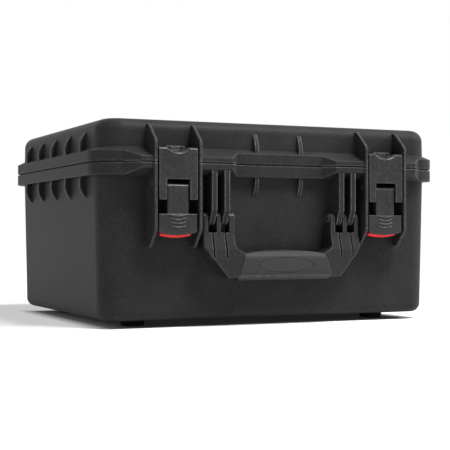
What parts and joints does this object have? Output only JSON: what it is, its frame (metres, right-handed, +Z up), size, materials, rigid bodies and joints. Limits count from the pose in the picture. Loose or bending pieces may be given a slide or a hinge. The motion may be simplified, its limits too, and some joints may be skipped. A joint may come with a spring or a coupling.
{
  "type": "hard transport case",
  "caption": "Moulded hard case for a stage laser: hinged lid, over-centre latches with sprung releases, swinging handle, rim seal and foam inserts.",
  "frame": {"origin": "middle of the closed case's box, on the floor under the feet", "axes": "+X along the front, to the right as seen from the front; the front with latches and handle faces -Y; +Z up"},
  "size_m": [0.42, 0.378, 0.2205],
  "materials": {
    "case_shell": "fine grained moulding, matt",
    "latch": "satin moulding",
    "handle": "satin moulding",
    "grip": "soft matt",
    "release": "satin",
    "seal": "matt",
    "foot": "matt",
    "foam": "open cell foam",
    "pin": "drawn"
  },
  "bodies": {
    "case": {"base_shell": "case_shell", "base_foam": "foam", "handle_pin_left": "handle", "handle_pin_right": "handle", "lever_pin_left": "pin", "lever_pin_right": "pin", "hinge_pin_left": "pin", "hinge_pin_right": "pin", "foot_front_left": "foot", "foot_front_right": "foot", "foot_rear_left": "foot", "foot_rear_right": "foot"},
    "lid": {"lid_shell": "case_shell", "rim_seal": "seal", "lid_foam": "foam"},
    "handle": {"handle_frame": "handle", "handle_grip": "grip"},
    "lever_left": {"latch_lever_left": "latch", "link_pin_left": "pin"},
    "plate_left": {"draw_plate_left": "latch"},
    "release_left": {"release_left": "release"},
    "lever_right": {"latch_lever_right": "latch", "link_pin_right": "pin"},
    "plate_right": {"draw_plate_right": "latch"},
    "release_right": {"release_right": "release"}
  },
  "joints": [
    {"name": "lid_hinge", "type": "hinge", "parent": "case", "child": "lid", "pos_m": [0, 0.1815, 0.174], "axis": [-1, 0, 0], "range_deg": [0, 100]},
    {"name": "handle_swing", "type": "hinge", "parent": "case", "child": "handle", "pos_m": [0, -0.1745, 0.1162], "axis": [-1, 0, 0], "range_deg": [0, 100]},
    {"name": "latch_lever_left", "type": "hinge", "parent": "case", "child": "lever_left", "pos_m": [-0.126, -0.181, 0.1515], "axis": [-1, 0, 0], "range_deg": [0, 90]},
    {"name": "latch_plate_left", "type": "hinge", "parent": "lever_left", "child": "plate_left", "pos_m": [-0.126, -0.1795, 0.142], "axis": [1, 0, 0], "range_deg": [0, 108]},
    {"name": "latch_release_left", "type": "slide", "parent": "lever_left", "child": "release_left", "axis": [0, 0, 1], "range_m": [0, 0.003], "stiffness_N_per_m": 400},
    {"name": "latch_lever_right", "type": "hinge", "parent": "case", "child": "lever_right", "pos_m": [0.126, -0.181, 0.1515], "axis": [-1, 0, 0], "range_deg": [0, 90]},
    {"name": "latch_plate_right", "type": "hinge", "parent": "lever_right", "child": "plate_right", "pos_m": [0.126, -0.1795, 0.142], "axis": [1, 0, 0], "range_deg": [0, 108]},
    {"name": "latch_release_right", "type": "slide", "parent": "lever_right", "child": "release_right", "axis": [0, 0, 1], "range_m": [0, 0.003], "stiffness_N_per_m": 400}
  ],
  "couplings": [
    {"joint": "latch_plate_left", "follows": "latch_lever_left", "ratio": 1.2},
    {"joint": "latch_plate_right", "follows": "latch_lever_right", "ratio": 1.2}
  ]
}
